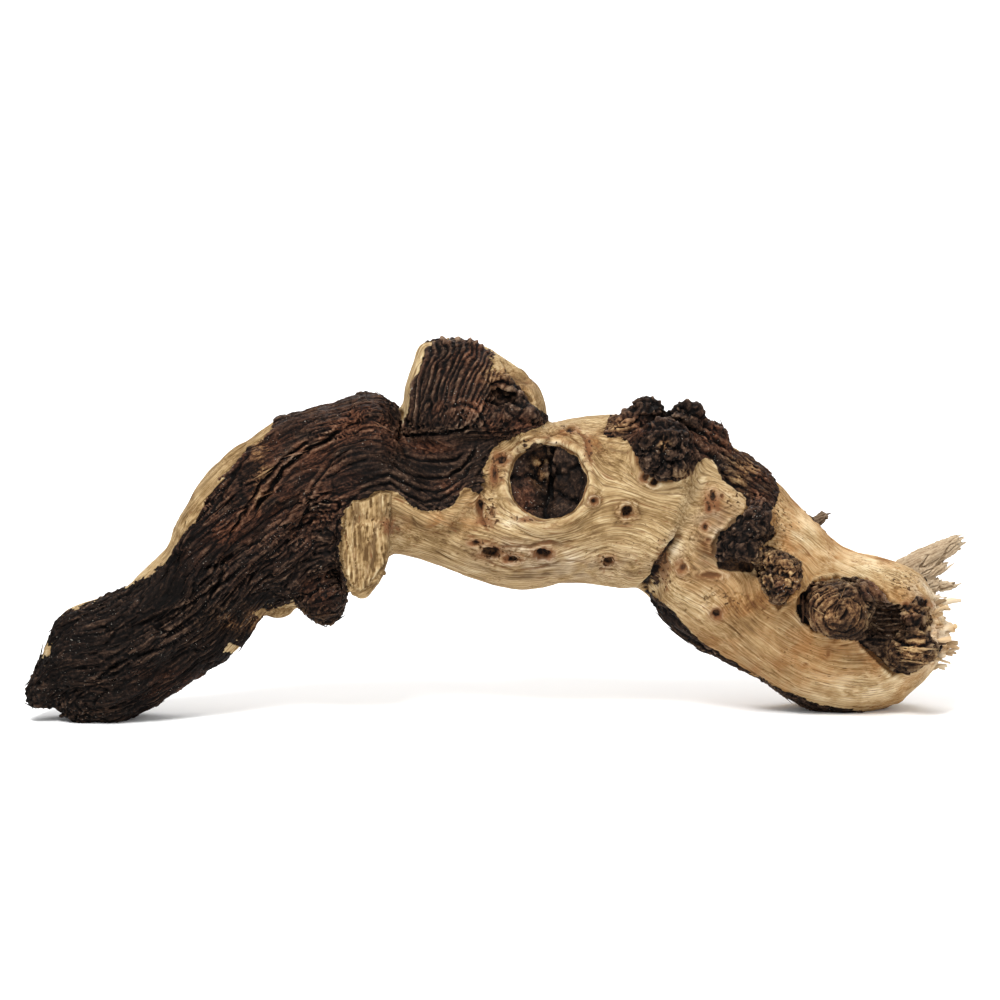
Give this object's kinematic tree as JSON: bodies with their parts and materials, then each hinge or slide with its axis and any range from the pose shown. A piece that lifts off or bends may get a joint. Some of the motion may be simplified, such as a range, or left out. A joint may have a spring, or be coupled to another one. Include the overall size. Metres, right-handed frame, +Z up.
{
  "type": "mopani driftwood",
  "caption": "Arched piece of driftwood that rests on the ends of its limbs, with a broken stub, knots, burls and splinters, for shelter and climbing in a tank.",
  "frame": {"origin": "on the surface that the wood rests on, under the middle of its box", "axes": "+Z up, +X from the left foot to the right end, -Y is the front that the picture shows"},
  "size_m": [0.4015, 0.0812, 0.1602],
  "materials": {
    "dark_heartwood": "rough, fissured, dry",
    "pale_sapwood": "sandblasted, fine open grain",
    "stained_sapwood": "worn smooth, orange stains",
    "grey_deadwood": "weathered, splintered"
  },
  "bodies": {
    "root": {"left_limb": "dark_heartwood", "upper_stub": "dark_heartwood", "trunk": "pale_sapwood", "right_limb": "stained_sapwood", "splintered_branch": "grey_deadwood", "twig": "grey_deadwood"}
  },
  "joints": []
}
